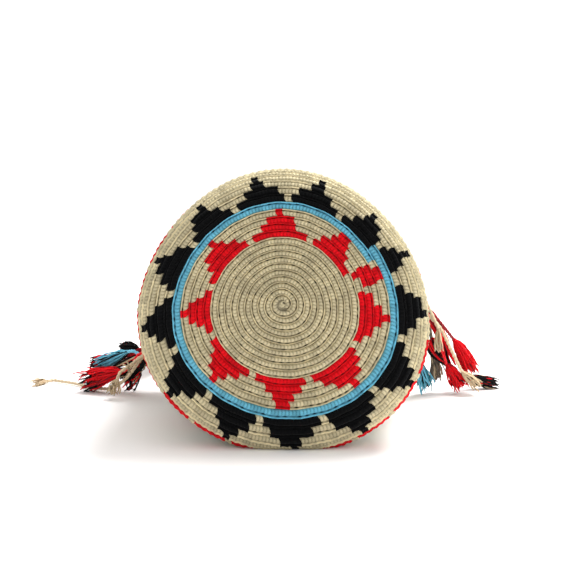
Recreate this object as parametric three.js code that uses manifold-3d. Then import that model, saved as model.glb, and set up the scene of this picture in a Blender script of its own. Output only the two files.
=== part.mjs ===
// A crocheted mochila shoulder bag that lies on its side: body, drawstring, strap and tassels.
// Millimetres, +Z up, floor at Z = 0. The bag's axis runs along Y, with the round base towards -Y.
import * as THREE from "three";
import { mergeVertices } from "three/addons/utils/BufferGeometryUtils.js";
import Module from "manifold-3d";

// Driving dimensions
const WALL = 4; // thickness of the crocheted fabric
const FULL_R = 123; // radius of the bag's round section before it slumps
const EDGE_R = 22; // radius of the rounded edge between base and wall
const BASE_Y = -130; // the base's outer face
const LENGTH = 257; // from the base's outer face to the rim
const CENTRE_Z = 125.8; // height of the bag's axis at the base
const MOUTH_WIDE = 0.06; // how much wider the mouth lies than the base
const MOUTH_LOW = 0.27; // how much lower the mouth lies than the base
const MOUTH_RISE = 9; // how far the gathered mouth end lifts off the floor
const FLAT = 6; // how far the underside would sink if the floor did not hold it
const CROWN = 7.6; // how far the base's middle stays above its edge's
const EYELETS = 14;
const EYELET_W = 15;
const EYELET_H = 10;
const EYELET_INSET = 30; // from the rim to the eyelets' centres
const DRAWSTRING_D = 5;
const STRAP_W = 70;
const STRAP_T = 3.5;
const SEAM_GAP = 0.3; // clearance kept between neighbours
const CORD_SIDES = 8;
const TASSEL_CORD_D = 3.4;
const KNOT_HALF = 9; // half the length of a tassel's knot

const RIM_Y = BASE_Y + LENGTH;
const WALL_START_Y = BASE_Y + EDGE_R;
const EYELET_Y = RIM_Y - EYELET_INSET;
const RISE_START_Y = RIM_Y - 87;

const COLOURS = {
  cream: 0xc3bb98,
  red: 0xe21222,
  dark_red: 0x8c1420,
  black: 0x0c0e10,
  cyan: 0x5fb9d7,
  teal: 0x2f8796,
  brown: 0x8a7c6c,
};

const wasm = await Module();
wasm.setup();
const group = new THREE.Group();

function addMesh(name, geometry, colour) {
  const material = new THREE.MeshStandardMaterial({ color: COLOURS[colour], roughness: 0.9, metalness: 0 });
  const mesh = new THREE.Mesh(geometry, material);
  mesh.name = name;
  group.add(mesh);
  return mesh;
}

// --- The slumped shape ------------------------------------------------------------------------

const smooth = (t) => t * t * (3 - 2 * t);
const clamp01 = (t) => Math.min(1, Math.max(0, t));

// The outline's radius at an angle: low and wide, and fuller on the lower right.
function outline(angle) {
  const low = Math.max(0, -Math.sin(angle));
  return FULL_R + 1.75 * Math.cos(2 * angle) - 4.5 * Math.sin(angle) - 2.9 * Math.sin(3 * angle)
    + 5 * low * Math.cos(angle) + 4 * low ** 4;
}

// The floor holds whatever would sink below it, and the fabric rounds softly into the flat.
function onFloor(z) {
  const soft = 2;
  if (z < -soft) return 0;
  return z < soft ? (z + soft) ** 2 / (4 * soft) : z;
}

// Where a point of the round, unslumped bag goes: radius and angle about the axis, and place along it.
function slump(radius, angle, y) {
  const reach = radius / FULL_R;
  const along = smooth(clamp01((y - WALL_START_Y) / (RIM_Y - WALL_START_Y)));
  const wide = 1 + MOUTH_WIDE * along;
  const high = 1 - MOUTH_LOW * along;
  const fold = 1 + 0.03 * along * Math.sin(3 * angle + 0.8) - 0.02 * along * Math.sin(5 * angle - 0.5);
  const r = outline(angle) * reach * fold;
  const x = r * Math.cos(angle) * wide;
  const crown = CROWN * (1 - Math.min(1, reach ** 5));
  const z = onFloor((CENTRE_Z + crown + r * Math.sin(angle)) * high - FLAT);
  const top = clamp01((z - 170) / 72);
  const rise = MOUTH_RISE * smooth(clamp01((y - RISE_START_Y) / 70));
  return new THREE.Vector3(x, y + 13 * top * top * (1 - along), z + rise);
}

// The bag's profile from the base's centre, round the edge and along the wall: radius and place.
const FLAT_S = FULL_R - EDGE_R;
const ARC_S = (Math.PI / 2) * EDGE_R;
const wallS = (y) => FLAT_S + ARC_S + y - WALL_START_Y;

function profileAt(s) {
  if (s < FLAT_S) return [s, BASE_Y];
  const a = Math.min(Math.PI / 2, (s - FLAT_S) / EDGE_R);
  const y = WALL_START_Y - EDGE_R * Math.cos(a) + Math.max(0, s - FLAT_S - ARC_S);
  return [FLAT_S + EDGE_R * Math.sin(a), y];
}

function surface(s, angle) {
  const [radius, y] = profileAt(s);
  return slump(radius, angle, y);
}

// A point off the fabric's outer face, at a distance along the profile and an angle about the axis.
function frameAt(s, angle) {
  const at = Math.max(s, 2);
  const p = surface(s, angle);
  const round = surface(at, angle + 0.01).sub(surface(at, angle - 0.01)).normalize();
  const along = surface(at + 1, angle).sub(surface(at - 1, angle)).normalize();
  const out = new THREE.Vector3().crossVectors(along, round).normalize();
  return { p, round, along, out };
}

// --- Body -------------------------------------------------------------------------------------

function profileStations() {
  const stations = [0, 0.25, 0.5, 0.75].map((share) => FLAT_S * share);
  const arcSteps = 5;
  for (let i = 0; i <= arcSteps; i += 1) stations.push(FLAT_S + ARC_S * (i / arcSteps));
  const wallSteps = 8;
  const wallLength = RIM_Y - WALL_START_Y;
  for (let i = 1; i <= wallSteps; i += 1) stations.push(FLAT_S + ARC_S + wallLength * (i / wallSteps));
  return stations;
}

// A closed wall: the outer face out to the rim, and the inner face back to the axis.
function wallSolid(segments) {
  const stations = profileStations();
  const faces = [...stations.map((s) => [s, 0]), ...stations.reverse().map((s) => [s, -WALL])];
  const plain = faces.map(([s, lift]) => {
    const [radius, y] = profileAt(s);
    return new THREE.Vector2(s > 0 ? radius + lift : 0, y - lift);
  });
  const lathe = new THREE.LatheGeometry(plain, segments);
  const at = lathe.attributes.position;
  for (let i = 0; i < at.count; i += 1) {
    const [s, lift] = faces[i % faces.length];
    const angle = s === 0 ? 0 : Math.atan2(at.getZ(i), at.getX(i));
    const { p, out } = frameAt(s, angle);
    p.addScaledVector(out, lift);
    at.setXYZ(i, p.x, p.y, p.z);
  }
  return solid(lathe);
}

function solid(geometry) {
  const bare = new THREE.BufferGeometry();
  const source = geometry.index ? geometry.toNonIndexed() : geometry;
  bare.setAttribute("position", source.getAttribute("position"));
  const merged = mergeVertices(bare, 1e-3);
  return new wasm.Manifold(new wasm.Mesh({
    numProp: 3,
    vertProperties: merged.attributes.position.array,
    triVerts: new Uint32Array(merged.index.array),
  }));
}

function fromSolid(made) {
  const mesh = made.getMesh();
  const geometry = new THREE.BufferGeometry();
  geometry.setAttribute("position", new THREE.BufferAttribute(new Float32Array(mesh.vertProperties), 3));
  geometry.setIndex(new THREE.BufferAttribute(new Uint32Array(mesh.triVerts), 1));
  geometry.computeVertexNormals();
  return geometry;
}

const eyeletAngle = (i) => -Math.PI / 2 + (i + 0.5) * ((2 * Math.PI) / EYELETS);

function makeBody() {
  let body = wallSolid(56);
  for (let i = 0; i < EYELETS; i += 1) {
    const { p, round, along, out } = frameAt(wallS(EYELET_Y), eyeletAngle(i));
    const hole = new THREE.CylinderGeometry(0.5, 0.5, 24, 10);
    hole.scale(EYELET_W, 1, EYELET_H);
    hole.applyMatrix4(new THREE.Matrix4().makeBasis(round, out, along).setPosition(p));
    body = body.subtract(solid(hole));
  }
  addMesh("bag_body", fromSolid(body), "cream");
}

// --- Cords ------------------------------------------------------------------------------------

function tube(points, diameter, steps) {
  const section = new THREE.Shape();
  for (let i = 0; i < CORD_SIDES; i += 1) {
    const a = (i / CORD_SIDES) * 2 * Math.PI;
    const x = (diameter / 2) * Math.cos(a);
    const y = (diameter / 2) * Math.sin(a);
    if (i === 0) section.moveTo(x, y);
    else section.lineTo(x, y);
  }
  const path = new THREE.CatmullRomCurve3(points, false, "centripetal");
  return new THREE.ExtrudeGeometry(section, { steps, extrudePath: path, bevelEnabled: false });
}

// A point beside the wall: lift is measured outwards from the wall's outer face.
function besideWall(angle, y, lift) {
  const { p, out } = frameAt(wallS(y), angle);
  return p.addScaledVector(out, lift);
}

// The drawstring passes in and out of the eyelets, and both ends lie down the outside of the wall.
const TOP = Math.PI / 2;
const END_Y = EYELET_Y - 26;
const LEFT_DRAPE = 1.56;
const RIGHT_DRAPE = 0.78;

// One end: from its tassel's knot up the wall to the top, then back towards the nearest eyelet.
function drapePoints(sign, reach, knotTop) {
  const lift = DRAWSTRING_D / 2 + 1.2;
  const points = [knotTop];
  for (const share of [1, 0.82, 0.64, 0.48, 0.34, 0.22]) {
    points.push(besideWall(TOP + sign * reach * share, END_Y, lift));
  }
  points.push(besideWall(TOP + sign * 0.1, END_Y + 4, lift));
  points.push(besideWall(TOP + sign * 0.04, (END_Y + EYELET_Y) / 2, lift));
  points.push(besideWall(TOP + sign * 0.09, EYELET_Y - 2, lift));
  return points;
}

function eyeletPoints() {
  const points = [];
  const half = 0.055;
  const lift = WALL / 2 + DRAWSTRING_D / 2 + 1.4;
  for (let i = 0; i < EYELETS; i += 1) {
    const angle = TOP + (i + 0.5) * ((2 * Math.PI) / EYELETS);
    const side = i % 2 === 0 ? 1 : -1;
    const from = -WALL / 2 + side * lift;
    const to = -WALL / 2 - side * lift;
    points.push(besideWall(angle - half, EYELET_Y, from));
    points.push(besideWall(angle + half, EYELET_Y, to));
    if (i < EYELETS - 1) points.push(besideWall(angle + Math.PI / EYELETS, EYELET_Y, to));
  }
  return points;
}

function knotTop({ knot, axis }) {
  return new THREE.Vector3(...knot).addScaledVector(new THREE.Vector3(...axis).normalize(), -KNOT_HALF - 1.2);
}

function makeDrawstring() {
  const left = drapePoints(1, LEFT_DRAPE, knotTop(LEFT));
  const right = drapePoints(-1, RIGHT_DRAPE, knotTop(RIGHT)).reverse();
  addMesh("drawstring", tube([...left, ...eyeletPoints(), ...right], DRAWSTRING_D, 120), "dark_red");
}

// --- Strap ------------------------------------------------------------------------------------

// The band's middle line behind the mouth, seen from above, with the height of its lower edge.
const STRAP_ROUTE = [
  [-131, 108, 52], [-133, 127, 50], [-138, 160, 34], [-143, 200, 12], [-147, 240, 2], [-145, 282, 1],
  [-122, 309, 1], [-92, 300, 1], [-72, 268, 1], [-62, 232, 1], [-44, 198, 1], [-8, 184, 1],
  [30, 196, 1], [52, 232, 1], [62, 272, 1], [84, 307, 1], [116, 315, 1], [142, 290, 1],
  [149, 246, 3], [147, 204, 13], [143, 162, 34], [140, 127, 50], [139, 108, 52],
];
const STRAP_LAP = 19; // how far each end reaches over the wall
const STRAP_FREE = 120; // length over which the band leaves the wall's curve

function strapPoint(share, across, lift, path, length) {
  const p = path.getPointAt(share);
  const t = path.getTangentAt(share);
  const side = new THREE.Vector3(-t.y, t.x, 0).normalize();
  const up = p.z + STRAP_W / 2 + across;
  const free = new THREE.Vector3(p.x, p.y, up).addScaledVector(side, lift);
  const fromEnd = length * Math.min(share, 1 - share);
  const held = 1 - smooth(clamp01((fromEnd - STRAP_LAP) / STRAP_FREE));
  if (held === 0) return free;
  const left = share < 0.5;
  const angle = (left ? Math.PI : 0) + (left ? -1 : 1) * (across / 96);
  const y = RIM_Y - STRAP_LAP + fromEnd;
  const out = SEAM_GAP + STRAP_T / 2 + 0.8 + lift;
  return free.lerp(besideWall(angle, y, out), held);
}

function makeStrap() {
  const path = new THREE.CatmullRomCurve3(STRAP_ROUTE.map((p) => new THREE.Vector3(...p)));
  path.arcLengthDivisions = 400;
  const length = path.getLength();
  const band = new THREE.BoxGeometry(STRAP_T, STRAP_W, 1, 1, 6, 84);
  const at = band.attributes.position;
  for (let i = 0; i < at.count; i += 1) {
    const share = clamp01(0.5 + at.getZ(i));
    const p = strapPoint(share, at.getY(i), at.getX(i), path, length);
    at.setXYZ(i, p.x, p.y, p.z);
  }
  addMesh("shoulder_strap", band, "cream");
  return length;
}

// Whip stitches hold each end of the strap to the wall.
function makeSeam(name, centreAngle) {
  const points = [];
  const edge = RIM_Y - STRAP_LAP;
  const stitches = 7;
  for (let i = 0; i <= stitches; i += 1) {
    const angle = centreAngle + ((i / stitches - 0.5) * (STRAP_W - 10)) / 96;
    const next = angle + 4.4 / 96;
    points.push(besideWall(angle, edge + 4, SEAM_GAP + STRAP_T + 2.6));
    points.push(besideWall(angle + 1.5 / 96, edge - 2.8, SEAM_GAP + 5));
    if (i < stitches) points.push(besideWall(next, edge - 2.8, SEAM_GAP + 5));
  }
  addMesh(name, tube(points, 1.6, 44), "cream");
}

// --- Tassels ----------------------------------------------------------------------------------

// A knot wound round the ends of the tassel's cords, hanging from the drawstring.
function knotProfile(radius, height) {
  const points = [];
  const steps = 6;
  for (let i = 0; i <= steps; i += 1) {
    const a = -Math.PI / 2 + (Math.PI * i) / steps;
    points.push(new THREE.Vector2(Math.max(0, radius * Math.cos(a)), (height / 2) * Math.sin(a)));
  }
  return points;
}

function placeAlong(geometry, from, to) {
  const direction = to.clone().sub(from).normalize();
  const turn = new THREE.Quaternion().setFromUnitVectors(new THREE.Vector3(0, 1, 0), direction);
  geometry.applyQuaternion(turn);
  geometry.translate(from.x, from.y, from.z);
  return geometry;
}

// Cut threads tied on a cord's end: narrow at the tie, full in the middle, open at the end.
function addTuft(name, from, to, width, colour) {
  const length = from.distanceTo(to);
  const shape = [[0, 0], [0.3, 0.02], [0.55, 0.2], [0.9, 0.5], [1, 0.8], [0.8, 1], [0, 1]];
  const profile = shape.map(([r, y]) => new THREE.Vector2((r * width) / 2, y * length));
  addMesh(name, placeAlong(new THREE.LatheGeometry(profile, 10), from, to), colour);
}

// Where each cord leaves the flat knot: steps along the wall and out from the knot's own axis.
const SLOT = 4.4;
const SLOTS = [
  [-1.28, -0.42], [-0.43, -0.42], [0.43, -0.42], [1.28, -0.42], [-0.86, 0.44], [0, 0.44], [0.86, 0.44],
];
const KNOT_R = 7;
const KNOT_FLAT = 0.64; // how thin the knot is across the wall

// Each cord: name, colour, slot on the knot, route after the knot, tuft's far end, tuft width.
const LEFT = {
  knot: [-135, 84, 62],
  axis: [-0.35, 0.35, -0.87],
  bundle: [[-146, 91, 43]],
  cords: [
    ["black_high", "black", 3, [[-152, 113, 46]], [-171, 124, 48], 13],
    ["cyan", "cyan", 5, [[-156, 98, 47], [-163, 107, 45]], [-200, 123, 31], 12],
    ["red", "red", 4, [[-158, 97, 33], [-168, 101, 25]], [-213, 121, 14], 20],
    ["red_back", "red", 6, [[-163, 113, 36], [-184, 131, 35]], [-208, 142, 27], 10],
    ["black_low", "black", 2, [[-148, 97, 33], [-150, 103, 26]], [-169, 115, 15], 18],
    ["cream_long", "cream", 1,
      [[-165, 98, 18], [-182, 109, 6], [-204, 128, 2.6], [-228, 150, 2.6], [-243, 160, 2.6],
        [-254, 166, 2.6], [-260, 161, 2.6]], [-271, 144, 5], 9],
    ["cream_short", "cream", 0, [[-160, 85, 33], [-168, 81, 28], [-171, 79, 21]], [-176, 76, 6], 12],
  ],
};
const RIGHT = {
  knot: [111.5, 77, 150],
  axis: [0.66, 0.1, -0.75],
  bundle: [[136.8, 82, 110], [145, 84, 93]],
  cords: [
    ["dark_red", "dark_red", 5, [[160, 91, 79], [176, 105, 59]], [202, 121, 24], 14],
    ["cream", "cream", 2, [[158, 82, 76], [167, 85, 60], [176, 89, 42], [184, 95, 26]], [205, 104, 8], 12],
    ["black", "black", 4, [[160, 99, 70], [166, 109, 48], [175, 118, 28], [190, 126, 13]], [228, 136, 7], 12],
    ["red_low", "red", 1, [[157, 90, 70], [164, 98, 47], [169, 103, 33]], [186, 110, 9], 14],
    ["brown", "brown", 0, [[152, 99, 64], [155, 107, 48]], [163, 117, 16], 10],
    ["cyan", "cyan", 3, [[137, 91, 62], [139, 96, 36]], [151, 104, 8], 13],
    ["cream_tuft", "cream", 6, [[157, 77, 74]], [157, 81, 50], 7],
  ],
};

function makeTassel(side, { knot: knotAt, axis, bundle, cords }) {
  const knot = new THREE.Vector3(...knotAt);
  const along = new THREE.Vector3(...axis).normalize();
  const across = new THREE.Vector3(along.y, -along.x, 0).normalize();
  const out = new THREE.Vector3().crossVectors(across, along).normalize();
  const wound = new THREE.LatheGeometry(knotProfile(KNOT_R, 2 * KNOT_HALF), 12);
  wound.scale(1, 1, KNOT_FLAT);
  wound.applyMatrix4(new THREE.Matrix4().makeBasis(across, along, out).setPosition(knot));
  addMesh("tassel_knot_" + side, wound, "cream");
  for (const [name, colour, slot, route, tuftEnd, width] of cords) {
    const [a, u] = SLOTS[slot];
    const offset = across.clone().multiplyScalar(SLOT * a).addScaledVector(out, SLOT * u);
    const start = knot.clone().addScaledVector(along, KNOT_HALF + 0.6).add(offset);
    const next = knot.clone().addScaledVector(along, KNOT_HALF + 9).addScaledVector(offset, 1.15);
    const together = bundle.map((p) => new THREE.Vector3(...p).addScaledVector(offset, 1.3));
    const points = [start, next, ...together, ...route.map((p) => new THREE.Vector3(...p))];
    const path = new THREE.CatmullRomCurve3(points, false, "centripetal");
    const steps = Math.round(path.getLength() / 8);
    const last = points[points.length - 1];
    const far = new THREE.Vector3(...tuftEnd);
    const tuftStart = last.clone().add(far.clone().sub(last).setLength(SEAM_GAP + 0.9));
    addMesh(["tassel", side, name, "cord"].join("_"), tube(points, TASSEL_CORD_D, steps), colour);
    addTuft(["tassel", side, name, "tuft"].join("_"), tuftStart, far, width, colour);
  }
}

makeBody();
makeDrawstring();
makeStrap();
makeSeam("strap_seam_left", Math.PI);
makeSeam("strap_seam_right", 0);
makeTassel("left", LEFT);
makeTassel("right", RIGHT);

export default group;
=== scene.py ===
"""A crocheted mochila shoulder bag that lies on its side: stitched body, drawstring, strap and tassels."""
import math

import bmesh
import bpy
import numpy as np
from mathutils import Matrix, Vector


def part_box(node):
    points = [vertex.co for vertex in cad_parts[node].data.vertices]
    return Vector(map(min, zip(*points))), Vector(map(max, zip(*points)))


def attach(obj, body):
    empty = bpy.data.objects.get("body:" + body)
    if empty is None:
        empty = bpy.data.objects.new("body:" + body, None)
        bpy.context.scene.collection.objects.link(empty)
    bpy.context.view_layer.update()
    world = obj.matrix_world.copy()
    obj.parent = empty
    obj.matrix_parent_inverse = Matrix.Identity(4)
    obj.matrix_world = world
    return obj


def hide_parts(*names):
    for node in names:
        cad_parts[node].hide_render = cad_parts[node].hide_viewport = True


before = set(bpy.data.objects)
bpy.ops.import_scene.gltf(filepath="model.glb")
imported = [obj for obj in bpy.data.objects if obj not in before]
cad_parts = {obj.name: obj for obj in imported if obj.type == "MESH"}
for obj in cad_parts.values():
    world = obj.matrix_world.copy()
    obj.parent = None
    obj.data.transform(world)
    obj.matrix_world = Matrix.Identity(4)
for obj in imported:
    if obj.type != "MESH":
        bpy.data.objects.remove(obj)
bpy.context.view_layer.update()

MM = 0.001

# Driving sizes, in millimetres, as the frame has them
BODY_LOW, BODY_HIGH = (np.array(corner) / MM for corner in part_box("bag_body"))
BASE_Y, RIM_Y = BODY_LOW[1], BODY_HIGH[1]
FULL_R = 123.0
EDGE_R = 22.0
WALL = 4.0
CENTRE_Z = 125.8
MOUTH_WIDE = 0.06
MOUTH_LOW = 0.27
MOUTH_RISE = 9.0
FLAT = 6.0
CROWN = 7.6
WALL_START_Y = BASE_Y + EDGE_R
EYELETS = 14
EYELET_W = 15.0
EYELET_H = 10.0
EYELET_Y = RIM_Y - 30.0
RISE_START_Y = RIM_Y - 87.0
DRAWSTRING_D = 5.0
TASSEL_CORD_D = 3.4
KNOT_HALF = 9.0
KNOT_R = 7.0
KNOT_FLAT = 0.64
SEAM_GAP = 0.3
STRAP_W = 70.0
STRAP_T = 3.5
STRAP_LAP = 19.0
STRAP_FREE = 120.0
TOP = math.pi / 2  # the angle of the bag's upper side
LEAN_FROM, LEAN_OVER, LEAN_BACK = 170.0, 72.0, 13.0  # above this height the base leans to the mouth
RISE_OVER = 70.0  # length over which the mouth end lifts off the floor
SIDE_R = 96.0  # millimetres of wall to a radian at the mouth's sides, where the strap is sewn on

# Yarn colours, linear
CREAM = (0.73, 0.645, 0.42)
RED = (0.85, 0.004, 0.012)
BLACK = (0.0015, 0.0018, 0.0024)
CYAN = (0.17, 0.56, 0.76)
YARN = {
    "cream": (0.66, 0.52, 0.34),
    "red": RED,
    "dark_red": (0.27, 0.008, 0.014),
    "black": BLACK,
    "cyan": CYAN,
    "brown": (0.16, 0.13, 0.10),
    "teal": (0.03, 0.24, 0.31),
}


# --- The slumped shape, the same as the frame's ------------------------------------------------

def smooth(t):
    t = np.clip(t, 0.0, 1.0)
    return t * t * (3 - 2 * t)


def outline(angle):
    """The outline's radius: low and wide, and fuller on the lower right."""
    low = np.maximum(0.0, -np.sin(angle))
    return (FULL_R + 1.75 * np.cos(2 * angle) - 4.5 * np.sin(angle) - 2.9 * np.sin(3 * angle)
            + 5 * low * np.cos(angle) + 4 * low ** 4)


def on_floor(z):
    """The floor holds what would sink below it, with a soft round into the flat."""
    soft = 2.0
    rounded = (z + soft) ** 2 / (4 * soft)
    return np.where(z < -soft, 0.0, np.where(z < soft, rounded, z))


def slump(radius, angle, y):
    """Where a point of the plain round bag lies once it has slumped, by radius, angle and place along."""
    reach = radius / FULL_R
    along = smooth((y - WALL_START_Y) / (RIM_Y - WALL_START_Y))
    wide = 1 + MOUTH_WIDE * along
    high = 1 - MOUTH_LOW * along
    fold = 1 + 0.03 * along * np.sin(3 * angle + 0.8) - 0.02 * along * np.sin(5 * angle - 0.5)
    r = outline(angle) * reach * fold
    crown = CROWN * (1 - np.minimum(1, reach ** 5))
    z = on_floor((CENTRE_Z + crown + r * np.sin(angle)) * high - FLAT)
    top = np.clip((z - LEAN_FROM) / LEAN_OVER, 0, 1)
    rise = MOUTH_RISE * smooth((y - RISE_START_Y) / RISE_OVER)
    return np.stack([r * np.cos(angle) * wide, y + LEAN_BACK * top * top * (1 - along), z + rise], -1)


FLAT_S = FULL_R - EDGE_R
ARC_S = math.pi / 2 * EDGE_R
WALL_S = FLAT_S + ARC_S
RIM_S = WALL_S + RIM_Y - WALL_START_Y


def profile(s):
    """Radius and place along the bag, at a distance along the fabric from the base's centre."""
    a = np.clip((s - FLAT_S) / EDGE_R, 0, math.pi / 2)
    radius = np.where(s < FLAT_S, s, FLAT_S + EDGE_R * np.sin(a))
    y = np.where(s < FLAT_S, BASE_Y, WALL_START_Y - EDGE_R * np.cos(a) + np.maximum(0, s - WALL_S))
    return radius, y


def surface(s, angle):
    """The fabric's outer face, a distance along it from the base's centre."""
    radius, y = profile(s)
    return slump(radius, angle, y)


def unit(v):
    return v / np.maximum(np.linalg.norm(v, axis=-1, keepdims=True), 1e-9)


def frame_at(s, angle):
    """On the fabric's outer face: the point, and the directions round, along and outwards."""
    at = np.maximum(s, 2.0)
    around = unit(surface(at, angle + 0.01) - surface(at, angle - 0.01))
    along = unit(surface(at + 1, angle) - surface(at - 1, angle))
    return surface(s, angle), around, along, unit(np.cross(along, around))


def skin(s, angle, lift):
    """A point lifted off the fabric's outer face."""
    p, _, _, out = frame_at(s, angle)
    return p + out * np.asarray(lift)[..., None]


def wall_s(y):
    """The distance along the fabric of a place on the wall."""
    return WALL_S + y - WALL_START_Y


def beside_wall(angle, y, lift):
    return skin(np.asarray(wall_s(y), float), np.asarray(angle, float), np.asarray(lift, float))


# --- Meshes and materials ----------------------------------------------------------------------

class Wire:
    """A shader socket that sums and products can be written with."""

    def __init__(self, tree, socket):
        self.tree, self.socket = tree, socket

    def maths(self, operation, other):
        return self.tree.add("ShaderNodeMath", {"operation": operation}, {0: self, 1: other})

    def __add__(self, other):
        return self.maths("ADD", other)

    def __mul__(self, other):
        return self.maths("MULTIPLY", other)


class Shader:
    """One material's nodes."""

    def __init__(self, name, **constants):
        self.material = bpy.data.materials.new(name)
        self.material.use_nodes = True
        self.nodes, self.links = self.material.node_tree.nodes, self.material.node_tree.links
        self.surface = self.nodes["Principled BSDF"]
        for socket, value in constants.items():
            self.surface.inputs[socket.replace("_", " ")].default_value = value

    def add(self, kind, settings=None, inputs=None, output=0):
        """A node with its settings and its sockets' values or links; gives one output."""
        node = self.nodes.new(kind)
        for key, value in (settings or {}).items():
            setattr(node, key, value)
        for key, value in (inputs or {}).items():
            if isinstance(value, Wire):
                self.links.new(value.socket, node.inputs[key])
            else:
                node.inputs[key].default_value = value
        return Wire(self, node.outputs[output])

    def feed(self, socket, wire):
        self.links.new(wire.socket, self.surface.inputs[socket])
        return self

    def place(self, scale):
        """Object coordinates times a scale, in turns per metre."""
        spot = self.add("ShaderNodeTexCoord", output=3)
        return self.add("ShaderNodeMapping", inputs={"Vector": spot, "Scale": (scale,) * 3})

    def noise(self, scale, detail=3.0):
        return self.add("ShaderNodeTexNoise", inputs={
            "Vector": self.place(scale), "Scale": 1.0, "Detail": detail, "Roughness": 0.6})

    def mixed(self, factor, a, b, blend="MIX"):
        return self.add("ShaderNodeMix", {"data_type": "RGBA", "blend_type": blend},
                        {0: factor, 6: a, 7: b}, output=2)


def with_alpha(colour):
    return (*colour, 1.0)


def thread_material(name, colour):
    """Matt cotton thread: fibre speckle, a little unevenness in the dye, and fuzz."""
    m = Shader(name, Roughness=0.92, Specular_IOR_Level=0.25, Sheen_Weight=0.25, Sheen_Roughness=0.5)
    base = with_alpha(colour)
    dark = with_alpha(tuple(c * 0.55 for c in colour))
    light = with_alpha(tuple(min(1.0, c * 1.22 + 0.012) for c in colour))
    uneven = m.mixed(m.noise(90, 2.0), dark, base)
    fibres = m.mixed(m.noise(1400, 4.0) * 0.8, uneven, light)
    m.feed("Base Color", fibres)
    bump = m.add("ShaderNodeBump", inputs={"Strength": 0.5, "Distance": 0.0004, "Height": m.noise(2200, 3.0)})
    return m.feed("Normal", bump).material


def stitched_material(name):
    """Cotton worked in several colours: each stitch's own colour with the painted shade and highlight of its
    stitches, with fibres and twist in it.
    """
    m = Shader(name, Roughness=0.95, Specular_IOR_Level=0.12, Sheen_Weight=0.05, Sheen_Roughness=0.5)
    # the yarn attribute holds each cell's colour together with its painted shade and highlight
    yarn = m.add("ShaderNodeAttribute", {"attribute_name": "yarn"})
    speckle = m.noise(1100, 4.0)
    shade = m.mixed(speckle * 0.55, with_alpha((1, 1, 1)), with_alpha((0.62, 0.6, 0.58)))
    worn = m.mixed(m.noise(45, 3.0) * 0.35, with_alpha((1, 1, 1)), with_alpha((0.78, 0.76, 0.72)))
    colour = m.mixed(1.0, m.mixed(1.0, yarn, shade, "MULTIPLY"), worn, "MULTIPLY")
    m.feed("Base Color", colour)
    spot = m.add("ShaderNodeUVMap", {"uv_map": "UVMap"})
    twist = m.add("ShaderNodeTexWave", {"bands_direction": "DIAGONAL"},
                  {"Vector": spot, "Scale": 1.6, "Distortion": 1.2, "Detail": 1.0}, output=1)
    height = twist * 0.6 + m.noise(1500, 3.0)
    bump = m.add("ShaderNodeBump", inputs={"Strength": 0.45, "Distance": 0.0005, "Height": height})
    return m.feed("Normal", bump).material


STITCHED = stitched_material("crocheted_cotton")
WOVEN = stitched_material("woven_cotton")
THREADS = stitched_material("loose_cotton")
THREAD = {name: thread_material(name + "_cotton", colour) for name, colour in YARN.items()}


def placed(name, mesh, material, replaces=()):
    piece = bpy.data.objects.new(name, mesh)
    bpy.context.scene.collection.objects.link(piece)
    mesh.materials.clear()
    mesh.materials.append(material)
    mesh.shade_smooth()
    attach(piece, "root")
    if replaces:
        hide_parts(*replaces)
    return piece


def sheet_of(name, columns, rows, shape, colour=None, closed_round=False, capped=False, strip=0):
    """A grid of columns by rows, bent by shape(column, row) in millimetres, coloured cell by cell.

    closed_round joins the first row to the last, as on a tube, and capped closes its ends.
    strip parts the grid into tubes of that many stations each."""
    bm = bmesh.new()
    bmesh.ops.create_grid(bm, x_segments=columns, y_segments=rows, size=0.5)
    mesh = bpy.data.meshes.new(name)
    bm.to_mesh(mesh)
    bm.free()
    flat = np.empty(len(mesh.vertices) * 3, np.float32)
    mesh.vertices.foreach_get("co", flat)
    flat = flat.reshape(-1, 3)
    column = np.rint((flat[:, 0] + 0.5) * columns).astype(int)
    row = np.rint((flat[:, 1] + 0.5) * rows).astype(int)
    bent = shape(column, row) * MM
    mesh.vertices.foreach_set("co", bent.astype(np.float32).ravel())
    corner = np.empty(len(mesh.loops), np.int32)
    mesh.loops.foreach_get("vertex_index", corner)
    cell_column = column[corner].reshape(-1, 4).min(1)
    cell_row = row[corner].reshape(-1, 4).min(1)
    if colour:
        paint = mesh.color_attributes.new("yarn", "FLOAT_COLOR", "CORNER")
        rgb = colour(cell_column, cell_row)
        rgba = np.concatenate([rgb, np.ones((len(rgb), 1))], 1)
        paint.data.foreach_set("color", np.repeat(rgba, 4, 0).astype(np.float32).ravel())
    layer = mesh.uv_layers.new(name="UVMap")
    uv = np.stack([column[corner], row[corner]], 1).astype(np.float32)
    layer.data.foreach_set("uv", uv.ravel())
    if closed_round or capped:
        bm = bmesh.new()
        bm.from_mesh(mesh)
        if strip:
            bm.faces.ensure_lookup_table()
            joins = [bm.faces[i] for i in np.flatnonzero(cell_column % strip == strip - 1)]
            bmesh.ops.delete(bm, geom=joins, context="FACES")
        bmesh.ops.remove_doubles(bm, verts=bm.verts, dist=2e-6)
        if capped:
            ends = [e for e in bm.edges if e.is_boundary]
            bmesh.ops.holes_fill(bm, edges=ends, sides=0)
        bmesh.ops.recalc_face_normals(bm, faces=bm.faces)
        bm.to_mesh(mesh)
        bm.free()
    mesh.update()
    return mesh


# --- Camera and light --------------------------------------------------------------------------

PITCH = math.radians(7.1)
camera_data = bpy.data.cameras.new("camera")
camera_data.lens = 74.5
camera_data.sensor_width = 36.0
camera = bpy.data.objects.new("camera", camera_data)
bpy.context.scene.collection.objects.link(camera)
camera.location = (6 * MM, (BASE_Y - 1000) * MM, 264 * MM)
camera.rotation_euler = (math.pi / 2 - PITCH, 0, 0)
bpy.context.scene.camera = camera
bpy.context.scene.view_settings.view_transform = "Standard"


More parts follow.
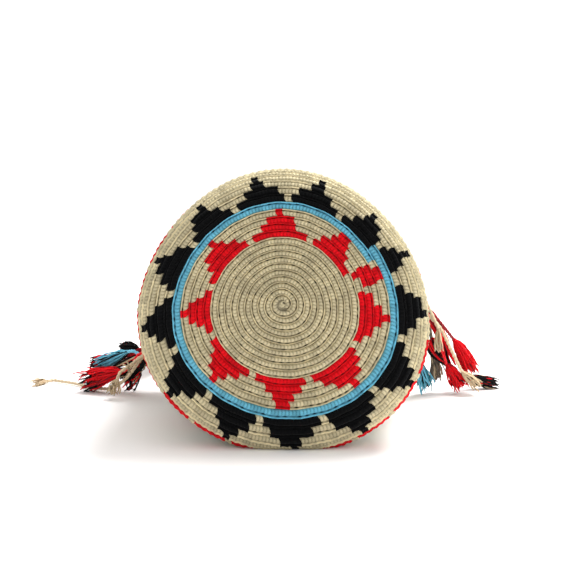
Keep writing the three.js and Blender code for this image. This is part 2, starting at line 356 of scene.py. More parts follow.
def soft_light(name, place, target, size, power):
    data = bpy.data.lights.new(name, "AREA")
    data.shape = "DISK"
    data.size = size
    data.energy = power
    lamp = bpy.data.objects.new(name, data)
    bpy.context.scene.collection.objects.link(lamp)
    lamp.location = place
    lamp.rotation_euler = (Vector(target) - Vector(place)).to_track_quat("-Z", "Y").to_euler()


WINDOW = (0.6, 0.65, 0.47)  # the room is brightest this way, behind and to the right
DIM, BRIGHT, SEEN = 0.36, 1.6, 1.1  # the room's strength away from it, towards it, and as seen


def light_scene():
    world = bpy.data.worlds.new("white_room")
    world.use_nodes = True
    background = world.node_tree.nodes["Background"]
    background.inputs["Color"].default_value = (1.0, 0.99, 0.98, 1)
    nodes, links = world.node_tree.nodes, world.node_tree.links
    where = nodes.new("ShaderNodeTexCoord")
    towards = nodes.new("ShaderNodeVectorMath")
    towards.operation = "DOT_PRODUCT"
    towards.inputs[1].default_value = WINDOW
    links.new(where.outputs["Generated"], towards.inputs[0])
    level = nodes.new("ShaderNodeMapRange")
    for name, value in (("From Min", -1), ("From Max", 1), ("To Min", DIM), ("To Max", BRIGHT)):
        level.inputs[name].default_value = value
    links.new(towards.outputs["Value"], level.inputs["Value"])
    path = nodes.new("ShaderNodeLightPath")
    seen = nodes.new("ShaderNodeMapRange")  # the camera sees the room as plain white from any side
    links.new(path.outputs["Is Camera Ray"], seen.inputs["Value"])
    links.new(level.outputs["Result"], seen.inputs["To Min"])
    seen.inputs["To Max"].default_value = SEEN
    links.new(seen.outputs["Result"], background.inputs["Strength"])
    bpy.context.scene.world = world
    soft_light("key", (0.6, 0.35, 1.5), (0, 0, 0.1), 0.9, 34)
    bm = bmesh.new()
    bmesh.ops.create_grid(bm, x_segments=1, y_segments=1, size=12.0)
    mesh = bpy.data.meshes.new("floor")
    bm.to_mesh(mesh)
    bm.free()
    floor = bpy.data.objects.new("floor", mesh)
    bpy.context.scene.collection.objects.link(floor)
    m = Shader("white_paper", Roughness=0.95, Specular_IOR_Level=0.1)
    m.surface.inputs["Base Color"].default_value = (0.95, 0.94, 0.935, 1)
    mesh.materials.append(m.material)


light_scene()


# --- Paths and cords ---------------------------------------------------------------------------

def smooth_path(points, step):
    """Points every step along the centripetal Catmull-Rom curve through the given ones."""
    p = np.array(points, float)
    p = np.vstack([2 * p[0] - p[1], p, 2 * p[-1] - p[-2]])
    made = []
    for i in range(1, len(p) - 2):
        knots = np.sqrt(np.linalg.norm(np.diff(p[i - 1:i + 3], axis=0), axis=1))
        knots = np.maximum(knots, 1e-4)
        t0, t1, t2, t3 = np.concatenate([[0], np.cumsum(knots)])
        t = np.linspace(t1, t2, 24, endpoint=False)[:, None]
        a1 = (t1 - t) / (t1 - t0) * p[i - 1] + (t - t0) / (t1 - t0) * p[i]
        a2 = (t2 - t) / (t2 - t1) * p[i] + (t - t1) / (t2 - t1) * p[i + 1]
        a3 = (t3 - t) / (t3 - t2) * p[i + 1] + (t - t2) / (t3 - t2) * p[i + 2]
        b1 = (t2 - t) / (t2 - t0) * a1 + (t - t0) / (t2 - t0) * a2
        b2 = (t3 - t) / (t3 - t1) * a2 + (t - t1) / (t3 - t1) * a3
        made.append((t2 - t) / (t2 - t1) * b1 + (t - t1) / (t2 - t1) * b2)
    line = np.vstack([*made, p[-2:-1]])
    far = np.concatenate([[0], np.cumsum(np.linalg.norm(np.diff(line, axis=0), axis=1))])
    count = max(2, int(round(far[-1] / step)) + 1)
    at = np.linspace(0, far[-1], count)
    return np.stack([np.interp(at, far, line[:, k]) for k in range(3)], 1), far[-1]


def carried_frames(line):
    """Tangents, and two directions across the line that turn as little as they can."""
    tangent = unit(np.gradient(line, axis=0))
    side = np.zeros_like(line)
    first = np.array([0.0, 0, 1]) if abs(tangent[0, 2]) < 0.9 else np.array([1.0, 0, 0])
    side[0] = unit(first - tangent[0] * first.dot(tangent[0]))
    for i in range(1, len(line)):
        s = side[i - 1] - tangent[i] * side[i - 1].dot(tangent[i])
        side[i] = unit(s)
    return tangent, side, np.cross(tangent, side)


def twisted_mesh(name, line, diameter, plies, lay, around=12):
    """A cord of plies twisted together, one turn of each ply in every lay millimetres."""
    tangent, side, other = carried_frames(line)
    far = np.concatenate([[0], np.cumsum(np.linalg.norm(np.diff(line, axis=0), axis=1))])

    def shape(column, row):
        a = row / around * 2 * math.pi
        twist = 2 * math.pi * far[column] / lay
        lobe = np.abs(np.cos((a - twist) * plies / 2))
        r = diameter / 2 * (0.58 + 0.48 * lobe ** 0.7)
        across = side[column] * np.cos(a)[:, None] + other[column] * np.sin(a)[:, None]
        return line[column] + across * r[:, None]

    return sheet_of(name, len(line) - 1, around, shape, closed_round=True, capped=True)


# --- Stitches ----------------------------------------------------------------------------------

SEAM_ANGLE = math.radians(27.3)
STITCH_W = 2 * math.pi * FULL_R / 130
# Turns of the spiral where the dye changes, and where the wall's figures start
RED_START, CYAN_START, BLACK_START, BLACK_END, WALL_ROW_0 = 10.4, 14.4, 15.42, 19.42, 19.92
WALL_PITCH = 6.13  # height of the wall's rounds
# The gaps between one figure and the next, in degrees round from where each band starts
RED_GAPS = (-3, 41.5, 87, 137.5, 176, 221, 262.3, 305, 345.5)
BLACK_GAPS = (-5, 24.5, 53, 81, 109.5, 139, 167.5, 195.5, 224.5, 253.5, 282, 310.5, 339)
# How far each round of a figure reaches from its middle, as a share of the way to the gaps
RED_STEPS = (1, 0.7, 0.39, 0.12)
BLACK_STEPS = (1, 0.66, 0.36, 0.12)
WALL_ROUND = 126  # stitches in each round of the wall, a whole number of figures
# Distances along the fabric from the base's centre, at turn 0 and at the first four turns above
BANDS_S = np.array([0, 57.4, 82.0, 89.0, 118.6])
LAST_ROW = BLACK_END + (RIM_S - BANDS_S[-1]) / WALL_PITCH


def row_s(turn):
    """Distance from the base's centre to where a turn of the spiral has got."""
    turns = [0, RED_START, CYAN_START, BLACK_START, BLACK_END, LAST_ROW]
    return np.interp(turn, turns, [*BANDS_S, RIM_S])


# Stitches made by each turn of the spiral: their number grows with the row's own circumference.
TURNS = np.linspace(0.12, LAST_ROW, 6000)
ROUND = 2 * math.pi * profile(row_s(TURNS + 0.5))[0] / STITCH_W
ROUND[TURNS > WALL_ROW_0] = WALL_ROUND
COUNTED = np.concatenate([[0], np.cumsum((ROUND[1:] + ROUND[:-1]) / 2 * np.diff(TURNS))])


def turn_of(stitch):
    """The spiral's turn at a stitch, counted from the base's centre."""
    return np.interp(stitch, COUNTED, TURNS)


def stitch_of(turn):
    """The stitch at a turn of the spiral."""
    return np.interp(turn, TURNS, COUNTED)


def stitches_round(turn):
    """How many stitches the spiral's round has at a turn."""
    return np.interp(turn, TURNS, ROUND)


def stepped(distance, row, steps):
    """Whether a stitch at a distance in stitches from a figure's middle is in it, row by row."""
    half = np.select([row == i for i in range(len(steps))], steps, -1.0)
    return distance <= half


def in_points(turn, start, gaps, steps, last, last_steps):
    """Stepped points, a stitch apart on their first row, between gaps in degrees after the start."""
    row = np.floor(turn - start + 1e-6)
    share = np.mod(turn - start, 1.0) * 360
    count = stitches_round(turn) / 360
    ends = np.array(gaps)
    which = np.clip(np.searchsorted(ends, share) - 1, 0, len(ends) - 2)
    low, high = ends[which], ends[which + 1]
    off = np.abs(share - (low + high) / 2) * count
    half = (high - low) / 2 * count - 0.5
    main = (share < gaps[-1]) & stepped(off / half, row, steps)
    odd = stepped(np.abs(share - last) * count, row, last_steps)
    return main | odd


def wall_colour(row, column):
    """The wall's figures: points, stepped diamonds and border rows, in whole stitches."""
    unit_6 = np.abs(np.mod(column, 6) - 2)
    red = stepped(unit_6, row, (2.0, 1.0, 0.2))
    cyan = (row == 6) | (row == 28)
    q = np.abs(np.mod(column, 18) - 8.5)
    ring = q + np.abs(row - 17)
    band = (row >= 8) & (row <= 26)
    black = band & (ring >= 7) & (ring < 9.4)
    red |= band & (ring >= 4.6) & (ring < 7)
    cyan |= band & (ring < 2.6)
    unit_9 = np.abs(np.mod(column, 9) - 4)
    points = (row >= 29) & (row <= 32)
    black |= points & (unit_9 <= (row - 29))
    red |= row >= LAST_ROW - WALL_ROW_0 - 1.9
    return red, black, cyan


def stitch_colour(stitch):
    """Each stitch's yarn, by its place in the spiral."""
    middle = np.floor(stitch) + 0.5
    turn = turn_of(middle)
    red = (turn >= RED_START) & (turn < CYAN_START)
    red &= in_points(turn, RED_START, RED_GAPS, RED_STEPS, 353, (0.6, 1.7, 2.0, 1.0))
    cyan = (turn >= CYAN_START) & (turn < BLACK_START)
    black = (turn >= BLACK_START) & (turn < BLACK_END)
    black &= in_points(turn, BLACK_START, BLACK_GAPS, BLACK_STEPS, 349.5, (2.1, 1.5, 0.6, 0.5))
    row = np.floor(turn - WALL_ROW_0 + 1e-6)
    angle = SEAM_ANGLE + 2 * math.pi * (turn - CYAN_START)
    high, right = np.sin(angle), np.cos(angle) > 0
    late = np.where(high > 0.85, 3, np.where(right & (high > -0.2), 1 + (high > 0.3), high > 0.6))
    on_wall = row >= late
    column = np.floor(stitch - stitch_of(WALL_ROW_0))
    wall_red, wall_black, wall_cyan = wall_colour(row, column)
    red |= on_wall & wall_red
    black |= on_wall & wall_black
    cyan |= on_wall & wall_cyan & ~wall_black & ~wall_red
    rgb = np.empty((len(stitch), 3))
    rgb[:] = CREAM
    rgb[cyan] = CYAN
    rgb[red] = RED
    rgb[black] = BLACK
    shade = 0.84 + 0.32 * chance(stitch)
    return rgb * shade[:, None]


# Where the rows of cells lie across a stitch: close on the base and its edge, coarser on the wall
ACROSS = np.array([-0.06, 0.03, 0.16, 0.34, 0.52, 0.64, 0.7, 0.77, 0.83, 0.88, 0.94, 1.0, 1.06])
COARSE = np.array([-0.08, 0.06, 0.3, 0.56, 0.7, 0.8, 0.9, 1.0, 1.07])
LEAN = 0.24  # how far a stitch slants over its height, in stitches
BOW = 0.2  # how far its middle bulges to one side, in stitches


def leg_at(stitch, v):
    """1 on the middle of each of a stitch's two legs, and 0 between the legs."""
    share = np.mod(2 * stitch + 1.15 * (v - 0.35), 1.0)
    return np.sqrt(np.maximum(0.0, 1 - (2 * share - 1) ** 2))


def stitch_lift(stitch, v):
    """How far the yarn stands off the fabric: two round legs, a groove, and the front loops' line."""
    body = smooth((v + 0.02) / 0.14) * (1 - smooth((v - 0.6) / 0.13))
    loop = np.exp(-((v - 0.94) / 0.055) ** 2)
    chain = 0.88 + 0.12 * np.cos(2 * math.pi * stitch)
    own = 0.2 * np.sin(np.floor(stitch) * 2.399) + 0.15 * np.sin(np.floor(stitch) * 0.731)
    return -2.2 + body * (1.1 + 1.3 * leg_at(stitch, v) + own) + loop * (3.0 * chain + 0.4 * own)


def stitch_shade(stitch, v):
    """Painted light and shade on each stitch: a painted highlight on the front loops' line, and painted shade
    in the groove beside it, in its holes, between the legs and at the stitch's foot.
    """
    groove = np.exp(-((v - 0.775) / 0.085) ** 2)
    # painted shade of the holes along the groove, deeper at some stitches than at others
    dots = (0.5 + 0.5 * np.cos(2 * math.pi * (stitch + 0.15))) * (0.35 + 1.05 * chance(stitch + 0.65))
    legs = 1 - 0.62 * (1 - leg_at(stitch, v)) * (v < 0.72)
    # painted shade at the stitch's foot
    foot = 1 - 0.5 * np.exp(-((v - 0.0) / 0.08) ** 2)
    # painted highlight where the front loops catch the light
    line = 1 + 0.62 * np.exp(-((v - 0.94) / 0.055) ** 2)
    return legs * foot * line * np.maximum(0.03, 1 - groove * (0.42 + 0.66 * dots))


def chance(stitch):
    """The same number from 0 to 1 for every part of one stitch, different for the next."""
    return np.mod(np.sin(np.floor(stitch) * 12.9898) * 43758.5453, 1.0)


def stitched_piece(name, first_turn, last_turn, columns_each, across):
    """Part of the spiral: so many columns of cells in each stitch, and rows of cells across it."""
    first, last = np.round(stitch_of(first_turn)), np.round(stitch_of(last_turn))
    columns = int((last - first) * columns_each)

    def shape(column, row):
        stitch = first + column / columns_each
        turn = turn_of(stitch)
        v = across[row]
        lean = ((v - 0.45) * LEAN + BOW * np.sin(math.pi * v)) / stitches_round(turn) * 2 * math.pi
        angle = SEAM_ANGLE + 2 * math.pi * (turn - CYAN_START) + lean
        wobble = 0.03 * np.sin(stitch * 1.7) + 0.03 * np.sin(stitch * 0.37 + 1)
        s = np.clip(row_s(np.maximum(turn + v + wobble, 0.02)), 0.15, RIM_S + 0.6)
        return skin(s, angle, stitch_lift(stitch, v))

    def colour(column, row):
        stitch = first + (column + 0.5) / columns_each
        v = (across[row] + across[row + 1]) / 2
        rgb = stitch_colour(stitch)
        painted_shade_power = np.where(rgb[:, 1] < 0.1, 0.55, 1.0)  # the painted stitch shade and highlight are weaker on dark dyes
        return rgb * (stitch_shade(stitch, v) ** painted_shade_power)[:, None]

    return sheet_of(name, columns, len(across) - 1, shape, colour)


def eyelet_angle(i):
    return -math.pi / 2 + (i + 0.5) * 2 * math.pi / EYELETS


def cut_eyelets(mesh):
    """Opens the eyelets in a stitched piece: the cells inside each one's oval go."""
    count = len(mesh.polygons)
    middle = np.empty(count * 3, np.float32)
    mesh.polygons.foreach_get("center", middle)
    middle = middle.reshape(-1, 3) / MM
    gone = np.zeros(count, bool)
    for i in range(EYELETS):
        p, around, along, out = frame_at(np.float64(wall_s(EYELET_Y)), np.float64(eyelet_angle(i)))
        d = middle - p
        oval = (d @ around / (EYELET_W / 2)) ** 2 + (d @ along / (EYELET_H / 2)) ** 2
        gone |= (oval < 1) & (np.abs(d @ out) < 8)
    if gone.any():
        bm = bmesh.new()
        bm.from_mesh(mesh)
        bm.faces.ensure_lookup_table()
        bmesh.ops.delete(bm, geom=[bm.faces[i] for i in np.flatnonzero(gone)], context="FACES")
        bm.to_mesh(mesh)
        bm.free()


def make_body():
    ranges = [("body_base", 0.12, 15.4, 8, ACROSS), ("body_edge", 15.4, 23.4, 8, ACROSS),
              ("body_wall_front", 23.4, 42.0, 5, COARSE), ("body_wall_back", 42.0, LAST_ROW, 5, COARSE)]
    for name, start, end, columns_each, across in ranges:
        mesh = stitched_piece(name, start, end, columns_each, across)
        cut_eyelets(mesh)
        placed(name, mesh, STITCHED, ["bag_body"])
    make_body_centre()
    make_body_inside()
    make_rim()


def make_body_centre():
    """The first loop of the spiral, drawn tight round a small hole, that closes its middle."""
    around, rings = 24, 7

    def swirl(angle, row):
        return np.cos(2 * angle + 0.8 * row)

    def hole(angle, row):
        return np.exp(-((row - 3) / 1.6) ** 2) * np.clip(np.cos(angle - 0.9) - 0.35, 0, 1)

    def shape(column, row):
        angle = -2 * math.pi * column / around
        dome = 0.9 * np.sqrt(np.maximum(0, 1 - (row / rings) ** 2))
        lift = -1.2 + dome + 0.35 * swirl(angle, row) - 2.4 * hole(angle, row)
        return skin(0.05 + 0.45 * row, angle, lift)

    def colour(column, row):
        angle = -2 * math.pi * (column + 0.5) / around
        # painted shade in the hole and in the swirl's low parts, and darker outside the fourth ring
        painted_shade = 0.14 * (1 - swirl(angle, row)) + 1.2 * hole(angle, row + 0.5) + 0.2 * (row > 4)
        return np.tile(CREAM, (len(column), 1)) * np.maximum(0.08, 1 - painted_shade)[:, None]

    mesh = sheet_of("body_centre", around, rings, shape, colour, closed_round=True)
    placed("body_centre", mesh, STITCHED, ["bag_body"])


def make_body_inside():
    """The fabric's inner face, with the same figures showing through, painted a tenth darker as shade inside
    the bag.
    """
    around, rows = 252, 116

    def shape(column, row):
        s = 0.5 + (RIM_S - 0.5) * row / rows
        angle = -2 * math.pi * column / around
        weave = 0.35 * np.sin(math.pi * column) + 0.5 * np.abs(np.sin(math.pi * row / 2))
        return skin(s, angle, -WALL + 0.4 - weave)

    def colour(column, row):
        s = (row + 0.5) / rows * RIM_S
        turn = np.interp(s, row_s(TURNS), TURNS)
        angle = -2 * math.pi * (column + 0.5) / around
        share = np.mod((angle - SEAM_ANGLE) / (2 * math.pi) + CYAN_START - turn, 1.0)
        # a tenth darker: painted shade inside the bag
        return stitch_colour(stitch_of(np.clip(turn + share - 0.5, 0.2, LAST_ROW - 0.1))) * 0.9

    mesh = sheet_of("body_inside", around, rows, shape, colour, closed_round=True)
    cut_eyelets(mesh)
    placed("body_inside", mesh, STITCHED, ["bag_body"])


def make_rim():
    """The last round of stitches, turned over the wall's edge."""
    each, sides = 5, 9
    count = WALL_ROUND * each

    def shape(column, row):
        angle = 2 * math.pi * column / count
        a = 2 * math.pi * row / sides
        bead = 0.8 + 0.2 * np.abs(np.sin(math.pi * column / each + a * 0.5))
        r = (WALL / 2 + 0.9) * bead
        return skin(RIM_S + r * np.sin(a) * 0.8 - 0.4, angle, -WALL / 2 + r * np.cos(a) * 1.1)

    def colour(column, row):
        return np.tile(RED, (len(column), 1)) * (0.9 + 0.1 * np.sin(column[:, None]))

    mesh = sheet_of("body_rim", count, sides, shape, colour, closed_round=True)
    placed("body_rim", mesh, STITCHED, ["bag_body"])


make_body()


# --- Eyelets, drawstring, strap and seams ------------------------------------------------------

def make_eyelets():
    """Each eyelet is edged with close stitches worked over its rim, with painted shade between the stitches.
    """
    turns, sides = 66, 8
    for i in range(EYELETS):
        p, around, along, out = frame_at(np.float64(wall_s(EYELET_Y)), np.float64(eyelet_angle(i)))
        middle = p - out * (WALL / 2)

        def shape(column, row):
            a = 2 * math.pi * column / turns
            b = 2 * math.pi * row / sides
            spoke = around * np.cos(a)[:, None] * (EYELET_W / 2) + along * np.sin(a)[:, None] * (EYELET_H / 2)
            way = unit(around * np.cos(a)[:, None] / EYELET_W + along * np.sin(a)[:, None] / EYELET_H)
            bead = 0.8 + 0.2 * np.abs(np.sin(11 * a + 0.5 * b))
            return (middle + spoke + way * (0.2 + 1.3 * bead * np.cos(b))[:, None]
                    + out * ((WALL / 2 + 0.9) * bead * np.sin(b))[:, None])

        def colour(column, row):
            # painted shade between the close stitches
            stitch_gap_shade = np.abs(np.sin(math.pi * (column + 0.5) / 6))
            return np.tile(RED, (len(column), 1)) * (0.55 + 0.45 * stitch_gap_shade)[:, None]

        name = "eyelet_%d" % (i + 1)
        mesh = sheet_of(name, turns, sides, shape, colour, closed_round=True)
        placed(name, mesh, STITCHED, ["bag_body"])


# The drawstring's ends on the wall: their place along it, and how far round from the top they reach
END_Y = EYELET_Y - 26
LEFT_DRAPE = 1.56
RIGHT_DRAPE = 0.78
EYELET_HALF = 0.055  # radians each side of an eyelet's middle, where the drawstring goes in and out


def knot_top(knot, axis):
    return np.array(knot) - unit(np.array(axis)) * (KNOT_HALF + 1.2)


def drape_points(sign, reach, top):
    """One end of the drawstring: from its tassel's knot up the wall, then back to the nearest eyelet."""
    lift = DRAWSTRING_D / 2 + 1.2
    points = [top]
    for share in (1, 0.82, 0.64, 0.48, 0.34, 0.22):
        points.append(beside_wall(TOP + sign * reach * share, END_Y, lift))
    points.append(beside_wall(TOP + sign * 0.1, END_Y + 4, lift))
    points.append(beside_wall(TOP + sign * 0.04, (END_Y + EYELET_Y) / 2, lift))
    points.append(beside_wall(TOP + sign * 0.09, EYELET_Y - 2, lift))
    return points


def eyelet_points():
    """In and out of the eyelets, all the way round the mouth."""
    points = []
    lift = WALL / 2 + DRAWSTRING_D / 2 + 1.4
    for i in range(EYELETS):
        angle = TOP + (i + 0.5) * 2 * math.pi / EYELETS
        side = 1 if i % 2 == 0 else -1
        points.append(beside_wall(angle - EYELET_HALF, EYELET_Y, -WALL / 2 + side * lift))
        points.append(beside_wall(angle + EYELET_HALF, EYELET_Y, -WALL / 2 - side * lift))
        if i < EYELETS - 1:
            points.append(beside_wall(angle + math.pi / EYELETS, EYELET_Y, -WALL / 2 - side * lift))
    return points


def make_drawstring(knots):
    left = drape_points(1, LEFT_DRAPE, knot_top(LEFT["knot"], LEFT["axis"]))
    right = drape_points(-1, RIGHT_DRAPE, knot_top(RIGHT["knot"], RIGHT["axis"]))
    line, length = smooth_path([*left, *eyelet_points(), *reversed(right)], 1.1)
    mesh = twisted_mesh("drawstring_cord", line, DRAWSTRING_D, 3, 15)
    piece = placed("drawstring_cord", mesh, THREAD["dark_red"], ["drawstring"])


# The band's middle line, from its left end round behind the mouth, with its lower edge's height
STRAP_ROUTE = [
    (-131, 108, 52), (-133, 127, 50), (-138, 160, 34), (-143, 200, 12), (-147, 240, 2), (-145, 282, 1),
    (-122, 309, 1), (-92, 300, 1), (-72, 268, 1), (-62, 232, 1), (-44, 198, 1), (-8, 184, 1),
    (30, 196, 1), (52, 232, 1), (62, 272, 1), (84, 307, 1), (116, 315, 1), (142, 290, 1),
    (149, 246, 3), (147, 204, 13), (143, 162, 34), (140, 127, 50), (139, 108, 52),
]


def strap_points(share, across, lift, line, length):
    """On the band: at a share of its length, a distance across it and off its middle face."""
    at = share * (len(line) - 1)
    index = np.arange(len(line))
    slope = np.gradient(line, axis=0)
    p = np.stack([np.interp(at, index, line[:, k]) for k in range(3)], 1)
    t = np.stack([np.interp(at, index, slope[:, k]) for k in range(2)], 1)
    side = unit(np.stack([-t[:, 1], t[:, 0], np.zeros(len(t))], 1))
    free = p + side * lift[:, None]
    free[:, 2] += STRAP_W / 2 + across
    from_end = length * np.minimum(share, 1 - share)
    held = 1 - smooth((from_end - STRAP_LAP) / STRAP_FREE)
    left = share < 0.5
    angle = np.where(left, math.pi - across / SIDE_R, across / SIDE_R)
    out = SEAM_GAP + STRAP_T / 2 + 0.8 + lift
    near = beside_wall(angle, RIM_Y - STRAP_LAP + np.minimum(from_end, STRAP_LAP + STRAP_FREE), out)
    return free + (near - free) * held[:, None]


# From the edge inwards: how far each stripe's outer edge is from the band's middle line
STRAP_STRIPES = [(31, RED), (27.5, BLACK), (22.5, CREAM), (19, CYAN), (15.5, BLACK), (6, RED), (2.5, BLACK)]


def make_strap():
    """A thick woven band: coloured warp stripes with a chevron rib across them, with painted shade in the
    rib's valleys.
    """
    line, length = smooth_path(STRAP_ROUTE, 1.0)
    columns, faces, edge = 430, 30, 2
    rows = 2 * (faces + edge)
    half_w, half_t = STRAP_W / 2, STRAP_T / 2

    def section(row):
        turn = np.mod(row, rows)
        front = turn <= faces
        back = (turn >= faces + edge) & (turn <= 2 * faces + edge)
        across = np.select([front, back], [half_w - 2 * half_w * turn / faces,
                                           -half_w + 2 * half_w * (turn - faces - edge) / faces])
        end = np.where(turn < faces + edge, -half_w - 0.2, half_w + 0.2)
        across = np.where(front | back, across, end)
        side = np.select([front, back], [1.0, -1.0], 0.0)
        return across, side

    def rib(column, across):
        return np.sin(2 * math.pi * (column / 4 + np.abs(across) / 9.0))

    def shape(column, row):
        across, side = section(row)
        share = column / columns
        thick = half_t - 0.3 + 0.32 * rib(column, across) - 0.5 * (np.abs(across) > half_w - 0.5)
        return strap_points(share, across, side * thick, line, length)

    def colour(column, row):
        across, _ = section(row + 0.5)
        far = np.abs(across)
        rgb = np.tile(CREAM, (len(column), 1))
        for reach, yarn in STRAP_STRIPES:
            rgb[far < reach] = yarn
        # painted shade in the rib's valleys and painted light on its ridges
        shade = 0.78 + 0.22 * rib(column + 0.5, across)
        return rgb * shade[:, None]

    mesh = sheet_of("woven_strap", columns, rows, shape, colour, closed_round=True, capped=True)
    placed("woven_strap", mesh, WOVEN, ["shoulder_strap"])


def make_seam(side, centre_angle):
    """Whip stitches that hold one end of the strap to the wall."""
    edge, stitches, thread_d = RIM_Y - STRAP_LAP, 7, 1.6
    points = []
    for i in range(stitches + 1):
        angle = centre_angle + ((i / stitches - 0.5) * (STRAP_W - 10)) / SIDE_R
        points.append(beside_wall(angle, edge + 4, SEAM_GAP + STRAP_T + 2.6))
        points.append(beside_wall(angle + 1.5 / SIDE_R, edge - 2.8, SEAM_GAP + 5))
        if i < stitches:
            points.append(beside_wall(angle + 4.4 / SIDE_R, edge - 2.8, SEAM_GAP + 5))
    line, _ = smooth_path(points, 0.8)
    mesh = twisted_mesh("seam_" + side, line, thread_d, 2, 4, around=8)
    placed("seam_" + side, mesh, THREAD["cream"], ["strap_seam_" + side])


# --- Tassels -----------------------------------------------------------------------------------

def strands(name, lines, radius, colours, sides=4):
    """Thin tubes along many lines of the same number of points, coloured point by point."""
    count, stations = lines.shape[:2]
    tangent = unit(np.gradient(lines, axis=1))
    up = np.where(np.abs(tangent[..., 2:]) < 0.8, [[[0, 0, 1.0]]], [[[1.0, 0, 0]]])
    side = unit(np.cross(tangent, up))
    other = np.cross(tangent, side)
    flat = [a.reshape(-1, 3) for a in (lines, side, other)]

    def shape(column, row):
        a = 2 * math.pi * row / sides
        across = flat[1][column] * np.cos(a)[:, None] + flat[2][column] * np.sin(a)[:, None]
        return flat[0][column] + across * radius.reshape(-1)[column][:, None]

    def colour(column, row):
        return colours[column]

    return sheet_of(name, count * stations - 1, sides, shape, colour,
                    closed_round=True, capped=True, strip=stations)


# Which yarns each tuft's threads are cut from, and in what shares
MIXES = {
    "red": [("red", 0.78), ("dark_red", 0.17), ("black", 0.05)],
    "dark_red": [("red", 0.88), ("dark_red", 0.12)],
    "black": [("black", 0.84), ("red", 0.12), ("cream", 0.04)],
    "cyan": [("cyan", 0.62), ("teal", 0.22), ("black", 0.16)],
    "cream": [("cream", 1.0)],
    "brown": [("brown", 0.75), ("cream", 0.25)],
}


def loose_lines(line, count, spread, rng):
    """Threads that have come loose along a line, closest together at its ends."""
    part = line[np.linspace(0, len(line) - 1, 10).round().astype(int)]
    t = np.linspace(0, 1, len(part))
    away = rng.normal(0, 1, (count, 1, 3)) * spread * np.sin(math.pi * np.sqrt(t))[None, :, None]
    return part[None] + away


def star_lines(middle, count, length, rng):
    """The frayed end of a short cord: threads that stand out from one point all round."""
    way = unit(rng.normal(0, 1, (count, 3)) + [-0.3, -0.7, 0.2])
    t = np.linspace(0, 1, 10)[None, :, None]
    return middle + way[:, None] * t * length * rng.uniform(0.7, 1.1, (count, 1, 1))


def tuft_mesh(name, start, end, width, colour, seed, line, loose):
    """Cut threads tied at the cord's end: tight at the tie, then spread and a little curled."""
    rng = np.random.default_rng(seed)
    frayed = colour == "cream"
    count = 16 if frayed else int(18 + 3.4 * width)
    stations = 10
    start, end = np.array(start, float), np.array(end, float)
    length = np.linalg.norm(end - start)
    axis = (end - start) / length
    side = unit(np.cross(axis, [0, 0, 1.0]))
    top = np.cross(side, axis)
    t = np.linspace(0, 1, stations)
    turn = rng.uniform(0, 2 * math.pi, count)
    reach = np.sqrt(rng.uniform(0.02, 1, count))
    long = rng.uniform(0.78, 1.06, count)
    spread = np.interp(t, [0, 0.06, 0.25, 0.6, 1.0], [0.16, 0.18, 0.72, 0.98, 1.0])
    bend = np.cumsum(rng.normal(0, 0.05, (count, stations, 2)), 1) * t[None, :, None] * 1.4
    out = reach[:, None] * spread[None] * width / 2
    a = np.cos(turn)[:, None] * out + bend[..., 0] * width
    b = np.sin(turn)[:, None] * out + bend[..., 1] * width - 0.12 * length * t[None] ** 2 * reach[:, None]
    lines = (start + axis * (length * t[None] * long[:, None])[..., None]
             + side * a[..., None] + top * b[..., None])
    radius = np.full((count, stations), 0.85 if frayed else 0.8) * rng.uniform(0.75, 1.1, count)[:, None]
    radius[:, -1] *= 0.6
    lines[..., 2] = np.maximum(lines[..., 2], radius + 0.15)
    names, shares = zip(*MIXES[colour])
    chosen = rng.choice(len(names), count, p=shares)
    rgb = np.array([YARN[n] for n in names])[chosen] * rng.uniform(0.85, 1.25, count)[:, None]
    rgb = np.repeat(rgb[:, None], stations, 1)
    if colour == "red":
        rgb[:, -3:] = np.where(rng.random(count)[:, None, None] < 0.5, np.array(BLACK), rgb[:, -3:])
    for more, apart, *route in loose:
        if len(route) == 1:
            extra = star_lines(np.array(route[0], float), more, apart, rng)
        else:
            own = [np.array(p, float) for p in route]
            own_line = smooth_path(own, 0.8)[0] if own else line[len(line) // 3:]
            extra = loose_lines(own_line, more, apart, rng)
        extra[..., 2] = np.maximum(extra[..., 2], 1.2)
        lines = np.concatenate([lines, extra])
        radius = np.concatenate([radius, np.full((more, stations), 0.85)])
        rgb = np.concatenate([rgb, np.repeat(rgb[rng.integers(0, count, more), :1], stations, 1)])
    return strands(name, lines, radius, rgb.reshape(-1, 3))


def knot_mesh(name, knot, across, along, out):
    """Thread wound many times round the ends of the cords, on a flat bundle."""
    turns, around, steps = 9, 20, 72

    def shape(column, row):
        t = -1 + 2 * column / steps
        a = 2 * math.pi * row / around
        full = np.sqrt(np.maximum(0.02, 1 - np.abs(t) ** 3))
        ridge = np.abs(np.sin(math.pi * (turns * (t + 1) / 2 + a / (2 * math.pi))))
        r = (KNOT_R - 0.9) * full + 0.9 * ridge
        return (knot + along * (t * KNOT_HALF)[:, None] + across * (r * np.cos(a))[:, None]
                + out * (r * np.sin(a) * KNOT_FLAT)[:, None])

    return sheet_of(name, steps, around, shape, closed_round=True, capped=True)


# Where the cords leave the flat knot, across it and out of it, in steps of so many millimetres
SLOT = 4.4
SLOT_AT = [
    (-1.28, -0.42), (-0.43, -0.42), (0.43, -0.42), (1.28, -0.42), (-0.86, 0.44), (0, 0.44), (0.86, 0.44),
]

